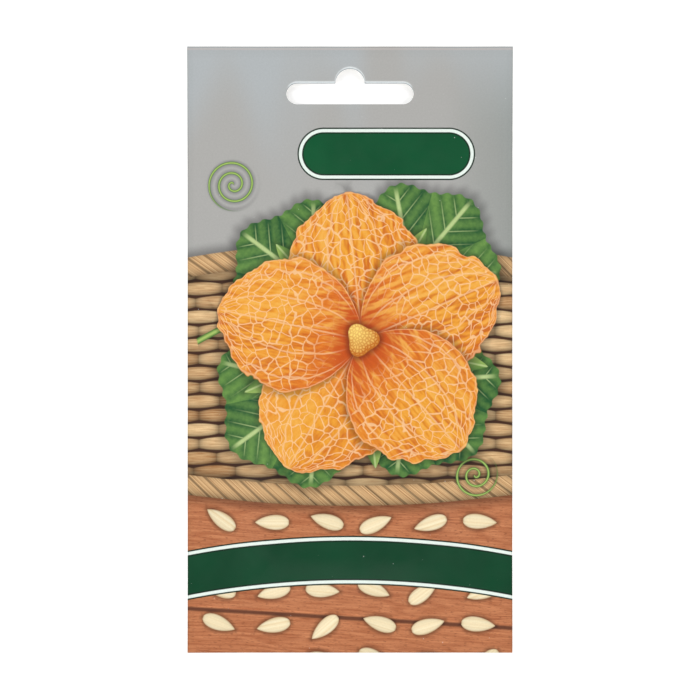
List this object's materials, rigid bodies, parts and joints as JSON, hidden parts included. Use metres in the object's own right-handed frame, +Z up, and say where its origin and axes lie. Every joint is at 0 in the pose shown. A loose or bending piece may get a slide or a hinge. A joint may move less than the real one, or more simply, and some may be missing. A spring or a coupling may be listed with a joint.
{
  "type": "seed packet",
  "caption": "Flat sealed seed packet lying on its back: a printed front sheet and a plain back sheet, a hang slot through both, and loose melon seeds in the pouch.",
  "frame": {"origin": "on the surface that the packet lies on, under the middle of its outline", "axes": "+Z up out of the printed front, +Y towards the end with the hang slot, +X to the right of someone reading the front"},
  "size_m": [0.0804, 0.15, 0.0024],
  "materials": {
    "printed_front": "coated paper laminate, printed, satin gloss",
    "plain_back": "uncoated pale paper",
    "seed_coat": "dry, smooth, slightly waxy seed coat"
  },
  "bodies": {
    "root": {"front_sheet": "printed_front", "back_sheet": "plain_back", "seed_01": "seed_coat", "seed_02": "seed_coat", "seed_03": "seed_coat", "seed_04": "seed_coat", "seed_05": "seed_coat", "seed_06": "seed_coat", "seed_07": "seed_coat", "seed_08": "seed_coat", "seed_09": "seed_coat", "seed_10": "seed_coat", "seed_11": "seed_coat", "seed_12": "seed_coat", "seed_13": "seed_coat", "seed_14": "seed_coat", "seed_15": "seed_coat", "seed_16": "seed_coat", "seed_17": "seed_coat", "seed_18": "seed_coat", "seed_19": "seed_coat", "seed_20": "seed_coat", "seed_21": "seed_coat", "seed_22": "seed_coat", "seed_23": "seed_coat", "seed_24": "seed_coat"}
  },
  "joints": []
}
